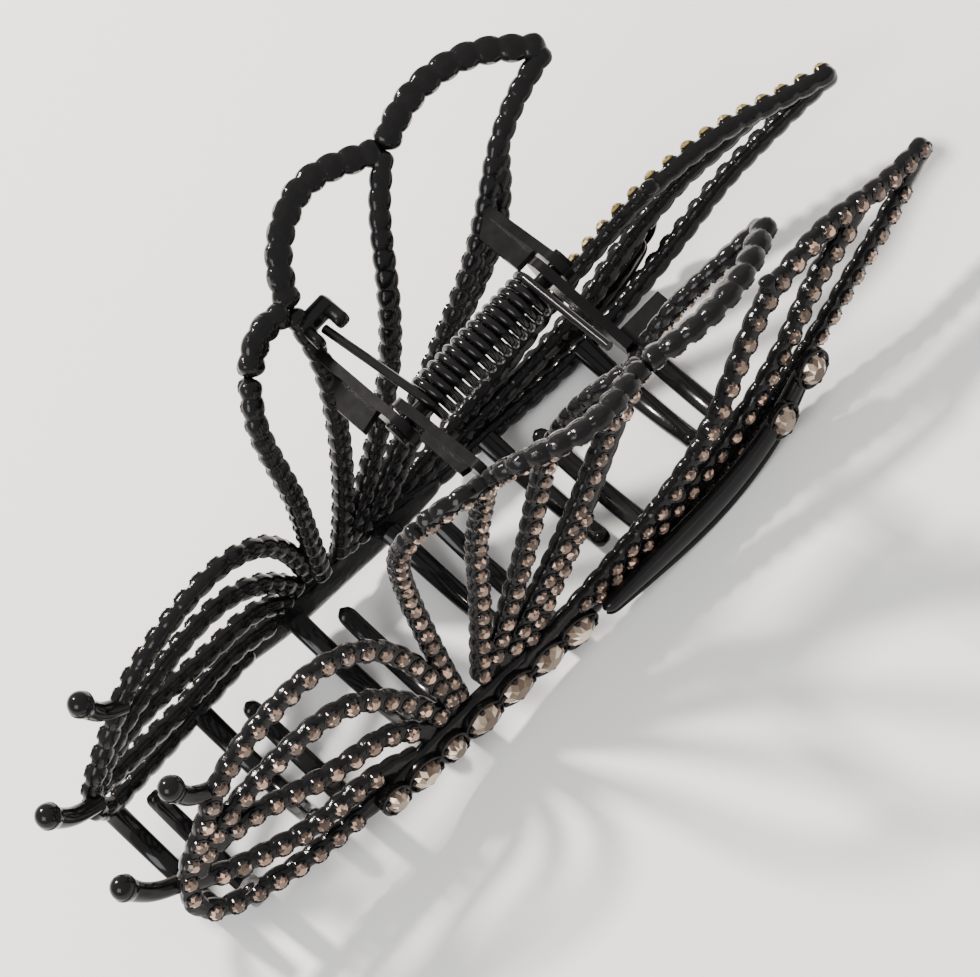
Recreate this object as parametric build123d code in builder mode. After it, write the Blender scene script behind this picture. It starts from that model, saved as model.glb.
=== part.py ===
"""Butterfly claw clip: two mirrored openwork halves on one sprung hinge.

X runs along the hinge pin, Y from the front half (minus) to the back half (plus), and Z up.
The clip stands closed on its claw teeth, and the origin is the middle of its footprint.
Tables are in percent of the clip's length, measured from the middle of the hinge pin.
"""

from build123d import *
from math import cos, radians, sin
import os

# Driving dimensions, in millimetres; the casting's own sizes are shares of its length
clip_length = 130.0
percent = clip_length / 100
hinge_x = 7.05 * percent
hinge_height = 27.31 * percent
gap = 0.1

crest_width = 2.46 * percent
rib_width = 1.92 * percent
vein_width = 1.77 * percent
sheet_thickness = 1.54 * percent

pin_radius = 1.0
pin_clearance = 0.05
pin_head_radius = 1.6
pin_head_length = 0.5

spring_length = 13.5 * percent
spring_radius = 2.5
wire_radius = 0.55
spring_turns = 14
leg_rise = 3.0
back_leg_lean = 5.0
back_leg_length = 11.5 * percent
front_leg_length = 11.3 * percent

ear_thickness = 1.2
ear_boss_radius = 2.7
ear_gap = 0.4
left_ear_x = -8.46 * percent
right_ear_x = 7.38 * percent
flange_thickness = 1.0

tooth_width = 2.15 * percent
tooth_thickness = 1.23 * percent
tooth_reach = 0.68
tooth_offset = 1.69 * percent
tooth_low_point = 1.23 * percent

body_face = 11.31 * percent
body_thickness = 1.54 * percent
antenna_face = 11.46 * percent
antenna_thickness = 1.38 * percent
bezel_height = 0.69 * percent
bezel_depth = 0.15 * percent
bezel_wall = 0.42 * percent

stone_back = 0.27 * percent
stone_girdle = 0.12 * percent
stone_crown = 0.73 * percent
stone_table = 0.58
stone_corner_counts = {"round": 10, "oval": 12, "marquise": 12, "pear": 12}
marquise_draw = 0.35
pear_draw = 0.25

prong_radius = 0.95 * percent
ball_radius = 1.19 * percent

# Strands of each wing: name, kind, and (along the pin, above the pin) points
handle_strands = [
    ("outer_rib", "rib", [(-22.7, -20.9), (-21.5, -13.6), (-20.3, -7.2), (-19.4, -1.8), (-18.2, 2.2),
                          (-16.0, 5.0)]),
    ("left_crest", "crest", [(-16.0, 5.0), (-12.8, 6.1), (-9.3, 5.1)]),
    ("left_rib", "rib", [(-9.3, 5.1), (-10.4, 0.0), (-12.7, -5.5), (-15.3, -11.5), (-20.3, -21.0)]),
    ("middle_crest", "crest", [(-9.3, 5.1), (-7.4, 7.4), (-3.9, 8.5), (0.7, 8.2), (3.9, 7.2), (6.4, 6.3)]),
    ("middle_rib", "rib", [(6.4, 6.3), (2.3, 4.2), (-0.7, 1.1), (-4.0, -3.5), (-8.4, -9.5), (-19.8, -21.3)]),
    ("right_crest", "crest", [(6.4, 6.3), (9.5, 6.7), (13.8, 6.6), (18.4, 5.6), (22.8, 3.4)]),
    ("right_rib", "rib", [(22.8, 3.4), (18.2, 2.8), (13.5, 1.2), (10.1, -1.0), (4.9, -5.2),
                          (-8.8, -15.5), (-18.5, -21.7)]),
    ("low_rib", "rib", [(13.5, 1.2), (8.1, -4.3), (2.3, -8.5), (-5.8, -14.8), (-15.4, -21.4)]),
]
hindwing_strands = [
    ("top_vein", "vein", [(-23.5, -20.0), (-23.8, -13.0), (-25.7, -8.0), (-29.4, -5.3), (-34.5, -4.9),
                          (-39.2, -5.7), (-43.1, -7.5), (-47.1, -10.8), (-50.3, -13.8), (-51.5, -16.9)]),
    ("second_vein", "vein", [(-25.0, -20.4), (-27.5, -13.7), (-30.7, -10.7), (-36.1, -9.7), (-40.7, -10.1),
                             (-46.2, -11.7), (-50.0, -14.6)]),
    ("third_vein", "vein", [(-26.3, -20.9), (-29.8, -16.8), (-34.0, -15.7), (-38.8, -14.1), (-43.3, -12.7),
                            (-47.4, -12.8)]),
    ("fourth_vein", "vein", [(-28.5, -21.5), (-33.8, -19.2), (-39.2, -18.8), (-43.8, -17.5), (-47.7, -16.0),
                             (-50.5, -14.3)]),
    ("edge_vein", "vein", [(-31.5, -21.8), (-36.9, -21.5), (-42.3, -21.2), (-47.2, -20.2), (-50.8, -18.6),
                           (-51.6, -15.9)]),
]
forewing_strands = [
    ("top_vein", "vein", [(-18.5, -22.8), (-10.8, -22.0), (-1.6, -21.0), (7.1, -19.1), (15.6, -15.7),
                          (20.1, -14.2), (24.8, -14.0), (29.2, -14.6), (32.6, -15.9), (36.9, -17.6),
                          (41.0, -18.7)]),
    ("crest_bud", "vein", [(20.6, -14.3), (22.0, -12.6)]),
    ("middle_vein", "vein", [(-16.9, -23.4), (-6.2, -23.0), (2.3, -22.9), (7.6, -22.4), (11.5, -21.7),
                             (16.2, -20.1), (21.0, -18.4), (25.4, -17.0), (29.2, -16.6), (32.6, -15.9)]),
    ("low_vein", "vein", [(-15.4, -24.2), (-6.2, -24.7), (3.1, -25.5), (9.2, -25.4), (13.8, -24.9),
                          (18.9, -23.9), (23.4, -22.7), (27.7, -21.4), (32.7, -20.4), (37.7, -19.3),
                          (41.0, -18.7)]),
]
strand_width = {"crest": crest_width, "rib": rib_width, "vein": vein_width}

# Part of the side view that each wing may fill, split by fine slits at the hub
handle_region = [(-22.9, -22.8), (-3.1, -18.8), (16.0, -8.0), (31.0, -4.0), (31.0, 12.0), (-23.3, 12.0),
                 (-22.9, -12.3)]
hindwing_region = [(-60.0, -30.0), (-23.0, -30.0), (-23.0, -12.3), (-23.4, 6.0), (-60.0, 6.0)]
forewing_region = [(-8.0, -30.0), (-8.0, -24.0), (-22.9, -24.0), (-22.9, -22.9), (-3.1, -18.9), (16.0, -12.5),
                   (22.0, -8.0), (50.0, -8.0), (50.0, -30.0)]

# Handle sheet at four stations: along, half-widths at its foot and waist, bend radius, bend angle in degrees
handle_stations = [
    (-23.5, 10.2, 6.9, 43.4, 24),
    (-9.2, 10.5, 9.9, 24.3, 49),
    (3.1, 10.6, 10.0, 17.7, 70),
    (25.4, 10.4, 9.1, 13.8, 63),
]
handle_foot = -24.0
handle_waist = -7.7

# Wing sheets: height of each level, and (along, half-width) at its three stations
forewing_levels = [
    (-27.7, [(-23.1, 10.7), (15.4, 8.6), (43.1, 5.9)]),
    (-19.0, [(-23.1, 10.6), (15.4, 10.4), (43.1, 5.6)]),
    (-9.2, [(-23.1, 10.4), (15.4, 7.4), (43.1, 5.0)]),
]
hindwing_levels = [
    (-24.6, [(-22.3, 10.8), (-36.9, 10.5), (-55.4, 7.7)]),
    (-3.1, [(-22.3, 7.2), (-36.9, 6.5), (-55.4, 4.0)]),
]

# Body plate: middle line from tail to head, with its half-height
body_line = [(-33.2, -21.7, 0.9), (-28.5, -22.3, 1.9), (-21.5, -23.0, 2.1), (-14.0, -23.8, 2.0),
             (-9.0, -24.4, 1.0)]

# Large stones: place, outline, length and width in percent, and turn in degrees
body_stones = [
    (-11.1, -24.1, "pear", 3.38, 2.46, -8),
    (-14.8, -23.6, "marquise", 3.54, 2.31, -8),
    (-18.6, -23.2, "marquise", 3.69, 2.46, -8),
    (-22.5, -22.9, "marquise", 3.69, 2.54, -6),
    (-26.1, -22.6, "round", 2.38, 2.38, 0),
    (-29.5, -22.2, "oval", 3.23, 2.31, -6),
    (-32.9, -21.7, "round", 2.38, 2.38, 0),
]
antenna_stones = [
    (14.6, -24.3, "oval", 3.23, 2.46, 60),
    (19.4, -22.0, "oval", 3.38, 2.62, 60),
]

# Antenna: middle line in side view, with its half-width across
antenna_line = [(-8.4, -24.1, 0.8), (-2.0, -24.9, 1.45), (4.6, -25.6, 1.7), (10.8, -25.3, 1.55),
                (16.0, -23.9, 1.2), (19.0, -22.4, 0.9)]
antenna_sheet = [(-12.0, 12.1), (5.0, 11.9), (24.0, 10.4)]

# Claw teeth: owner, middle of each pair along the pin, and the height and half-width of its roots
tooth_pairs = [
    ("hindwing", -48.8, -19.3, 8.2),
    ("hindwing", -37.2, -21.6, 9.8),
    ("body", -25.4, -22.7, 10.5),
    ("body", -13.8, -23.8, 10.5),
    ("forewing", -1.9, -24.8, 9.9),
    ("forewing", 10.0, -25.0, 9.4),
]

# Ears: end of each ear as (half-width, above, radius), and its flange as
# (half-widths near from and to, far from and to, reach along the pin, above)
front_left_ear_end = (11.5, 4.0, 1.25)
back_left_ear_end = (10.5, 0.5, 1.25)
right_ear_end = (10.0, -2.0, 1.3)
front_left_flange = (3.3, 9.6, 3.8, 9.2, 0.8, 2.2)
back_left_flange = (2.9, 9.9, 2.2, 5.8, 2.1, 0.4)
front_right_flange = (7.4, 9.9, 7.5, 9.7, 4.9, -2.8)
back_right_flange = (3.4, 9.9, 3.4, 8.4, -1.9, -0.9)

# Forked keeper on the back handle round the spring's leg: along, half-width and above, from and to
keeper_blocks = {
    "base": ((-10.1, 12.0, 2.2), (-6.1, 13.3, 4.2)),
    "left_finger": ((-10.1, 9.9, 2.2), (-9.0, 12.1, 3.8)),
    "right_finger": ((-7.5, 9.9, 2.2), (-6.1, 12.1, 3.8)),
}

# Ball-tipped prongs: root, bend and ball centre as (along, half-width, above)
prong_paths = {
    "upper_prong": [(-43.3, 6.4, -7.8), (-45.3, 6.4, -5.8), (-46.0, 6.4, -3.0)],
    "lower_prong": [(-50.7, 6.1, -14.9), (-53.4, 5.7, -12.8), (-54.8, 5.4, -9.7)],
}


def side_view(level=0.0):
    """Side view seen from the front, with its origin on the pin's middle."""
    return Plane(origin=(hinge_x, level, hinge_height), x_dir=(1, 0, 0), z_dir=(0, -1, 0))


def cross_view(along):
    """Cross-section square to the pin, with half-widths to the right."""
    return Plane(origin=(hinge_x + along, 0, hinge_height), x_dir=(0, 1, 0), z_dir=(1, 0, 0))


def plan_view(above):
    """View from the top at a height over the pin."""
    return Plane(origin=(hinge_x, 0, hinge_height + above), x_dir=(1, 0, 0), z_dir=(0, 0, 1))


def scaled(points):
    """Table points in percent of the length, as millimetres."""
    return [tuple(value * percent for value in point) for point in points]


def strand_sides(points, width):
    """Points on both sides of a strand's middle line."""
    with BuildLine(mode=Mode.PRIVATE) as line:
        Spline(*points)
    middle = line.line.edges()[0]
    steps = max(2, 2 * (len(points) - 1))
    left, right = [], []
    for step in range(steps + 1):
        share = step / steps
        here = middle.position_at(share)
        ahead = middle.tangent_at(share)
        aside = Vector(-ahead.Y, ahead.X) * (width / 2)
        left.append(here + aside)
        right.append(here - aside)
    return left, right


def draw_strand(points, width):
    """One strand of even width with round ends, in the sketch being built."""
    if len(points) > 2:
        left, right = strand_sides(points, width)
        with BuildLine() as edge:
            Spline(*left)
            Spline(*right)
            Line(left[0], right[0])
            Line(left[-1], right[-1])
        make_face(edge.edges())
    else:
        with BuildLine() as edge:
            Line(*points)
        trace(edge.edges(), line_width=width)
    with Locations(points[0], points[-1]):
        Circle(width / 2)


def body_outline(grow=0.0):
    """Lens-shaped outline of the body plate, in the sketch being built."""
    line = scaled(body_line)
    upper = [(x, z + half + grow) for x, z, half in line]
    lower = [(x, z - half - grow) for x, z, half in line]
    with BuildLine() as edge:
        Spline(*upper)
        Spline(*lower)
        ThreePointArc(upper[0], (line[0][0] - line[0][2] - grow, line[0][1]), lower[0])
        ThreePointArc(upper[-1], (line[-1][0] + line[-1][2] + grow, line[-1][1]), lower[-1])
    make_face(edge.edges())


def strand_sketch(strands, region):
    """All strands of one wing, cut clear of its neighbours and of the body."""
    with BuildSketch(side_view()) as sketch:
        for name, kind, points in strands:
            draw_strand(scaled(points), strand_width[kind])
        with BuildSketch(mode=Mode.INTERSECT):
            with BuildLine():
                Polyline(*scaled(region), close=True)
            make_face()
        with BuildSketch(mode=Mode.SUBTRACT):
            body_outline(grow=gap)
    return sketch


def handle_sheet(side, grow=0.0):
    """Flared sheet that the handle's strands lie in, before it is pierced."""
    with BuildPart() as sheet:
        for along, foot_width, waist_width, radius, angle in handle_stations:
            foot = foot_width * percent
            waist = waist_width * percent
            bend = radius * percent
            half = sheet_thickness / 2 + grow
            low = handle_foot * percent
            high = handle_waist * percent
            turn = radians(angle)
            with BuildSketch(cross_view(along * percent)):
                with BuildLine():
                    ends = []
                    for shift in (-half, half):
                        reach = bend - shift
                        middle = (side * (waist + bend), high)
                        start = (side * (waist + shift), high)
                        halfway = (middle[0] - side * reach * cos(turn / 2), high + reach * sin(turn / 2))
                        end = (middle[0] - side * reach * cos(turn), high + reach * sin(turn))
                        Line((side * (foot + shift), low), start)
                        ThreePointArc(start, halfway, end)
                        ends.append(end)
                    Line((side * (foot - half), low), (side * (foot + half), low))
                    Line(*ends)
                make_face()
        loft()
    return sheet


def wing_sheet(side, levels):
    """Gently bowed sheet that a wing's strands lie in, before it is pierced."""
    half = sheet_thickness / 2
    with BuildPart() as sheet:
        for level, table in levels:
            rows = scaled(table)
            with BuildSketch(plan_view(level * percent)):
                with BuildLine():
                    for shift in (-half, half):
                        ThreePointArc(*[(x, side * (width + shift)) for x, width in rows])
                    for x, width in (rows[0], rows[-1]):
                        Line((x, side * (width - half)), (x, side * (width + half)))
                make_face()
        loft(ruled=True)
    return sheet


def add_tooth(side, along, root_level, root_width):
    """Curved claw tooth that reaches across under the hair, in the part being built."""
    centre = along + side * -tooth_offset
    floor_line = -hinge_height + tooth_thickness / 2
    reach = root_width * tooth_reach
    tip = (-side * reach, root_level)
    with BuildPart(mode=Mode.PRIVATE) as tooth:
        with BuildSketch(cross_view(centre)):
            with BuildLine():
                ThreePointArc((side * root_width, root_level), (side * tooth_low_point, floor_line), tip)
            trace(line_width=tooth_thickness)
        extrude(amount=tooth_width / 2, both=True)
        with BuildSketch(plan_view(-hinge_height)):
            with Locations((centre, side * (root_width - reach) / 2)):
                SlotOverall(root_width + reach + tooth_width, tooth_width, rotation=90)
        extrude(amount=hinge_height, mode=Mode.INTERSECT)
    add(tooth.part)


def add_prong(side, points):
    """Smooth prong that curves up to a ball, in the part being built."""
    root, bend, tip = [(x, side * width, z) for x, width, z in scaled(points)]
    place = side_view().origin
    with BuildPart(mode=Mode.PRIVATE) as prong:
        with BuildLine():
            ThreePointArc(*[place + Vector(*point) for point in (root, bend, tip)])
        path = prong.pending_edges[0]
        with BuildSketch(Plane(origin=path @ 0, z_dir=path % 0)):
            Circle(prong_radius)
        sweep(path=path)
        with Locations(path @ 1):
            Sphere(ball_radius)
    add(prong.part)


def stone_corners(kind, length, width, grow=0.0):
    """Corner points of a stone's outline, round its middle."""
    corners = round(stone_corner_counts[kind])
    points = []
    for corner in range(corners):
        turn = radians(360 * (corner + 0.5) / corners)
        along = (length / 2 + grow) * cos(turn)
        across = (width / 2 + grow) * sin(turn)
        if kind == "marquise":
            across *= abs(sin(turn)) ** marquise_draw
        if kind == "pear":
            across *= 1.0 - pear_draw * cos(turn)
        points.append((along, across))
    return points


def stone_plane(side, row, level):
    """Plane that faces out of a half, turned along a stone's length."""
    x, z = row[0] * percent, row[1] * percent
    tilt = radians(row[5])
    return Plane(
        origin=(hinge_x + x, side * level, hinge_height + z),
        x_dir=(cos(tilt), 0, sin(tilt)),
        z_dir=(0, side, 0),
    )


def draw_stone(row, grow=0.0, share=1.0):
    """A stone's outline, grown by a width and scaled by a share, in the sketch being built."""
    corners = stone_corners(row[2], row[3] * percent, row[4] * percent, grow)
    with BuildLine() as edge:
        Polyline(*[(along * share, across * share) for along, across in corners], close=True)
    make_face(edge.edges())


def set_bezels(side, rows, face):
    """Raised bezels with a pocket for each stone, in the part being built."""
    for row in rows:
        with BuildSketch(stone_plane(side, row, face - bezel_depth)) as rim:
            draw_stone(row, grow=gap + bezel_wall)
        extrude(rim.sketch, amount=bezel_depth + bezel_height)
    for row in rows:
        with BuildSketch(stone_plane(side, row, face)) as pocket:
            draw_stone(row, grow=gap)
        extrude(pocket.sketch, amount=bezel_height + stone_crown, mode=Mode.SUBTRACT)


def make_stone(side, row, face):
    """Cut stone: flat back, girdle, and a ring of crown facets round its table."""
    back = face + gap
    with BuildPart() as stone:
        low = back + stone_back
        high = low + stone_girdle
        for first, first_share, last, last_share in (
            (back, 0.8, low, 1.0),
            (low, 1.0, high, 1.0),
            (high, 1.0, high + stone_crown, stone_table),
        ):
            with BuildSketch(stone_plane(side, row, first)):
                draw_stone(row, share=first_share)
            with BuildSketch(stone_plane(side, row, last)):
                draw_stone(row, share=last_share)
            loft(ruled=True)
    return stone


def pierce(side, sketch, sheet):
    """The strands of a sketch, cut out of their sheet."""
    with BuildPart() as wing:
        add(sheet.part)
        extrude(sketch.sketch, amount=-side * clip_length / 4, mode=Mode.INTERSECT)
    return wing


def make_handle(side):
    """Three flared petals and their ribs, with the spring's keeper on the back one."""
    strands = strand_sketch(handle_strands, handle_region)
    with BuildPart() as handle:
        add(pierce(side, strands, handle_sheet(side)).part)
        if side > 0:
            for corners in keeper_blocks.values():
                low, high = [Vector(*corner) for corner in scaled(corners)]
                with Locations(side_view().origin + (low + high) / 2):
                    Box(*(high - low))
    return handle


def make_forewing(side):
    """Long pointed wing with its claw teeth."""
    strands = strand_sketch(forewing_strands, forewing_region)
    sheet = wing_sheet(side, forewing_levels)
    with BuildPart() as wing:
        add(pierce(side, strands, sheet).part)
        add_teeth(side, "forewing")
    return wing


def make_hindwing(side):
    """Low looped wing with its claw teeth and ball-tipped prongs."""
    strands = strand_sketch(hindwing_strands, hindwing_region)
    sheet = wing_sheet(side, hindwing_levels)
    with BuildPart() as wing:
        add(pierce(side, strands, sheet).part)
        add_teeth(side, "hindwing")
        for points in prong_paths.values():
            add_prong(side, points)
    return wing


def make_body(side):
    """Body plate with the bezels of the large stones and its claw teeth."""
    with BuildPart() as body:
        with BuildSketch(side_view(side * (body_face - body_thickness))) as plate:
            body_outline()
        extrude(plate.sketch, amount=-side * body_thickness)
        set_bezels(side, body_stones, body_face)
        add_teeth(side, "body")
    return body


def make_antenna(side):
    """Smooth curved bar under the forewing, ending in two set stones."""
    line = scaled(antenna_line)
    upper = [(x, z + half) for x, z, half in line]
    lower = [(x, z - half) for x, z, half in line]
    rows = scaled(antenna_sheet)
    half = antenna_thickness / 2
    with BuildPart() as antenna:
        with BuildSketch(plan_view(-hinge_height)):
            with BuildLine():
                for shift in (-half, half):
                    ThreePointArc(*[(x, side * (width + shift)) for x, width in rows])
                for x, width in (rows[0], rows[-1]):
                    Line((x, side * (width - half)), (x, side * (width + half)))
            make_face()
        extrude(amount=hinge_height)
        with BuildSketch(side_view()) as outline:
            with BuildLine():
                Spline(*upper)
                Spline(*lower)
                Line(upper[0], lower[0])
                Line(upper[-1], lower[-1])
            make_face()
        extrude(outline.sketch, amount=-side * clip_length / 4, mode=Mode.INTERSECT)
        set_bezels(side, antenna_stones, antenna_face)
    return antenna


def add_teeth(side, node):
    """The claw teeth of one node, in the part being built."""
    for owner, *place in tooth_pairs:
        if owner == node:
            add_tooth(side, *scaled([place])[0])


def make_ear(side, near, outward, end, flange):
    """Flat ear that carries the pin, with its flange, stopped short of the handle's sheet.

    A flange with a negative reach is folded towards the spring instead of away from it.
    """
    y_end, z_end, end_radius = scaled([end])[0]
    near_from, near_to, far_from, far_to, reach, level = scaled([flange])[0]
    far = near + outward * (reach + (ear_thickness if reach > 0 else 0))
    with BuildPart() as ear:
        with BuildSketch(cross_view(near)):
            Circle(ear_boss_radius)
            with Locations((side * y_end, z_end)):
                Circle(end_radius)
            make_hull()
        extrude(amount=outward * ear_thickness)
        with BuildSketch(plan_view(level)):
            with BuildLine():
                Polyline((near, side * near_from), (near, side * near_to), (far, side * far_to),
                         (far, side * far_from), close=True)
            make_face()
        extrude(amount=flange_thickness / 2, both=True)
        with BuildSketch(cross_view(near)):
            Circle(pin_radius + pin_clearance)
        extrude(amount=outward * ear_thickness, mode=Mode.SUBTRACT)
        add(handle_sheet(side, grow=gap).part, mode=Mode.SUBTRACT)
    return ear


def make_pin():
    """Hinge pin with a small head at each end."""
    ends = (left_ear_x - 2 * ear_thickness - ear_gap - gap, right_ear_x + 2 * ear_thickness + ear_gap + gap)
    with BuildPart() as pin:
        with BuildSketch(cross_view(ends[0])):
            Circle(pin_radius)
        extrude(amount=ends[1] - ends[0])
        for end, outward in zip(ends, (-1, 1)):
            with BuildSketch(cross_view(end)):
                Circle(pin_head_radius)
            extrude(amount=outward * pin_head_length)
    return pin


def make_spring():
    """Close coil round the pin, with a straight leg to each handle."""
    start_turn = 90 + leg_rise
    end_turn = 360 * spring_turns + 90 - leg_rise
    pitch = spring_length * 360 / (end_turn - start_turn)
    start_x = (left_ear_x + right_ear_x - spring_length) / 2
    coil_plane = Plane(
        origin=(hinge_x + start_x, 0, hinge_height),
        x_dir=(0, cos(radians(start_turn)), sin(radians(start_turn))),
        z_dir=(1, 0, 0),
    )
    with BuildLine(mode=Mode.PRIVATE) as turns:
        Helix(pitch, spring_length, spring_radius)
    coil = coil_plane.from_local_coords(turns.line)
    lean = radians(back_leg_lean)
    back_aim = Vector(-sin(lean), cos(lean) * cos(radians(leg_rise)), cos(lean) * sin(radians(leg_rise)))
    front_aim = Vector(0, -cos(radians(leg_rise)), sin(radians(leg_rise)))
    back_leg = Edge.make_line(coil @ 0 + back_aim * back_leg_length, coil @ 0)
    front_leg = Edge.make_line(coil @ 1, coil @ 1 + front_aim * front_leg_length)
    wire = Wire([back_leg, *coil.edges(), front_leg])
    with BuildPart() as spring:
        with BuildSketch(Plane(origin=wire @ 0, z_dir=wire % 0)) as section:
            Circle(wire_radius)
        sweep(section.sketch, path=wire, transition=Transition.TRANSFORMED)
    return spring


def save(name, piece):
    """Label a piece and write its STEP file."""
    piece.part.label = name
    export_step(piece.part, "parts/" + name + ".step")


os.makedirs("parts", exist_ok=True)

save("hinge_pin", make_pin())
save("spring", make_spring())

for half, side in (("front", -1), ("back", 1)):
    outer = max(side, 0) * (ear_thickness + ear_gap)
    save(half + "_handle", make_handle(side))
    save(half + "_forewing", make_forewing(side))
    save(half + "_hindwing", make_hindwing(side))
    save(half + "_body", make_body(side))
    save(half + "_antenna", make_antenna(side))
    if side < 0:
        left_end, left_flange, right_flange = front_left_ear_end, front_left_flange, front_right_flange
    else:
        left_end, left_flange, right_flange = back_left_ear_end, back_left_flange, back_right_flange
    save(half + "_left_ear", make_ear(side, left_ear_x - outer, -1, left_end, left_flange))
    save(half + "_right_ear", make_ear(side, right_ear_x + outer, 1, right_ear_end, right_flange))
    seats = [(row, body_face) for row in body_stones] + [(row, antenna_face) for row in antenna_stones]
    for number, (row, face) in enumerate(seats, start=1):
        save(half + "_stone_" + str(number), make_stone(side, row, face))
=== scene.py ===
"""Looks of a butterfly claw clip: lacquered beaded wings, set stones, claw teeth and a sprung hinge.

All lengths in this file are in millimetres until a mesh is made. Side views are (along the hinge pin,
above the pin), in percent of the nominal length, as in the part's own tables.
"""

import logging
from dataclasses import dataclass, field
from enum import Enum
from math import cos, pi, radians, sin
from typing import Any, Callable, Sequence

import bpy
import numpy as np
from mathutils import Matrix


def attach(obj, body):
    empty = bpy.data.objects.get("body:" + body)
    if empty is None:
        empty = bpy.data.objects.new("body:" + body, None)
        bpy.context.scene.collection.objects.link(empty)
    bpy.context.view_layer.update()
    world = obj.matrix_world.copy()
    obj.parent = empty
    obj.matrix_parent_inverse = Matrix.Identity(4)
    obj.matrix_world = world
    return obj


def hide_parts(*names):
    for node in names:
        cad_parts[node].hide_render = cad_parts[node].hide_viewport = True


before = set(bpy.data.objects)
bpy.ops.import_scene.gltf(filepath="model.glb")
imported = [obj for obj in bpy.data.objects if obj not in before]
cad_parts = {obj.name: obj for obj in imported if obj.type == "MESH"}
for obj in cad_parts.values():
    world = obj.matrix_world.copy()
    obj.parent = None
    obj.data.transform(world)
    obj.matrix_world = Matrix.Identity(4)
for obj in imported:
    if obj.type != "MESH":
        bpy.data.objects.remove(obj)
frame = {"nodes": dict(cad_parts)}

Array = np.ndarray
Point = tuple[float, float]

LOG = logging.getLogger("claw_clip")
MILLIMETRES = 1000.0
PERCENT = 1.3
PIN_PLACE = np.array([9.165, 0.0, 35.503])
RIDGE_ROUNDING = 2.0
SMOOTH_ANGLE = 40.0
FOILED = -1.0
HARDWARE_GRAIN = 600.0
GEM_BACK = 0.82
GEM_CROWN = 0.84
GEM_CROWN_LEVEL = 0.56


class Half(Enum):
    """The two mirrored halves, with the sign of their side along Y."""

    FRONT = -1
    BACK = 1

    @property
    def label(self) -> str:
        """Word that starts the names of this half's nodes."""
        return self.name.lower()

    @property
    def body(self) -> str:
        """Moving body that this half's pieces ride on."""
        return self.label + "_half"

    @property
    def outward(self) -> Array:
        """Level unit vector away from the hair."""
        return np.array([0.0, self.value, 0.0])


@dataclass(frozen=True)
class StrandKind:
    """Sizes of one kind of beaded strand.

    They are the half-widths at a lobe and between lobes, the lobes' spacing, the metal's rise over
    and under the middle surface, and the radius and height of its stones.
    """

    lobe: float
    valley: float
    pitch: float
    over: float
    under: float
    stone_radius: float
    stone_height: float


CREST = StrandKind(1.70, 1.34, 2.7, 0.95, 1.25, 0.98, 0.66)
RIB = StrandKind(1.36, 1.12, 2.3, 0.92, 1.12, 0.84, 0.62)
VEIN = StrandKind(1.34, 1.10, 2.7, 0.88, 1.05, 0.90, 0.64)

HANDLE_STRANDS: list[tuple[StrandKind, list[Point]]] = [
    (CREST, [(-16.0, 5.0), (-12.8, 6.1), (-9.3, 5.1)]),
    (CREST, [(-9.3, 5.1), (-7.4, 7.4), (-3.9, 8.5), (0.7, 8.2), (3.9, 7.2), (6.4, 6.3)]),
    (CREST, [(6.4, 6.3), (9.5, 6.7), (13.8, 6.6), (18.4, 5.6), (22.8, 3.4)]),
    (RIB, [(-22.7, -20.9), (-21.5, -13.6), (-20.3, -7.2), (-19.4, -1.8), (-18.2, 2.2), (-16.0, 5.0)]),
    (RIB, [(-9.3, 5.1), (-10.4, 0.0), (-12.7, -5.5), (-15.3, -11.5), (-20.3, -21.0)]),
    (RIB, [(6.4, 6.3), (2.3, 4.2), (-0.7, 1.1), (-4.0, -3.5), (-8.4, -9.5), (-19.8, -21.3)]),
    (RIB, [(22.8, 3.4), (18.2, 2.8), (13.5, 1.2), (10.1, -1.0), (4.9, -5.2), (-8.8, -15.5), (-18.5, -21.7)]),
    (RIB, [(13.5, 1.2), (8.1, -4.3), (2.3, -8.5), (-5.8, -14.8), (-15.4, -21.4)]),
]
HINDWING_STRANDS: list[tuple[StrandKind, list[Point]]] = [
    (VEIN, [(-23.5, -20.0), (-23.8, -13.0), (-25.7, -8.0), (-29.4, -5.3), (-34.5, -4.9), (-39.2, -5.7),
             (-43.1, -7.5), (-47.1, -10.8), (-50.3, -13.8), (-51.5, -16.9)]),
    (VEIN, [(-25.0, -20.4), (-27.5, -13.7), (-30.7, -10.7), (-36.1, -9.7), (-40.7, -10.1), (-46.2, -11.7),
             (-50.0, -14.6)]),
    (VEIN, [(-26.3, -20.9), (-29.8, -16.8), (-34.0, -15.7), (-38.8, -14.1), (-43.3, -12.7), (-47.4, -12.8)]),
    (VEIN, [(-28.5, -21.5), (-33.8, -19.2), (-39.2, -18.8), (-43.8, -17.5), (-47.7, -16.0), (-50.5, -14.3)]),
    (VEIN, [(-31.5, -21.8), (-36.9, -21.5), (-42.3, -21.2), (-47.2, -20.2), (-50.8, -18.6), (-51.6, -15.9)]),
]
FOREWING_STRANDS: list[tuple[StrandKind, list[Point]]] = [
    (VEIN, [(-18.5, -22.8), (-10.8, -22.0), (-1.6, -21.0), (7.1, -19.1), (15.6, -15.7), (20.1, -14.2),
             (24.8, -14.0), (29.2, -14.6), (32.6, -15.9), (36.9, -17.6), (41.0, -18.7)]),
    (VEIN, [(-16.9, -23.4), (-6.2, -23.0), (2.3, -22.9), (7.6, -22.4), (11.5, -21.7), (16.2, -20.1),
             (21.0, -18.4), (25.4, -17.0), (29.2, -16.6), (32.6, -15.9)]),
    (VEIN, [(-15.4, -24.2), (-6.2, -24.7), (3.1, -25.5), (9.2, -25.4), (13.8, -24.9), (18.9, -23.9),
             (23.4, -22.7), (27.7, -21.4), (32.7, -20.4), (37.7, -19.3), (41.0, -18.7)]),
    (VEIN, [(20.6, -14.3), (21.4, -13.4), (22.0, -12.6)]),
]
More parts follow.
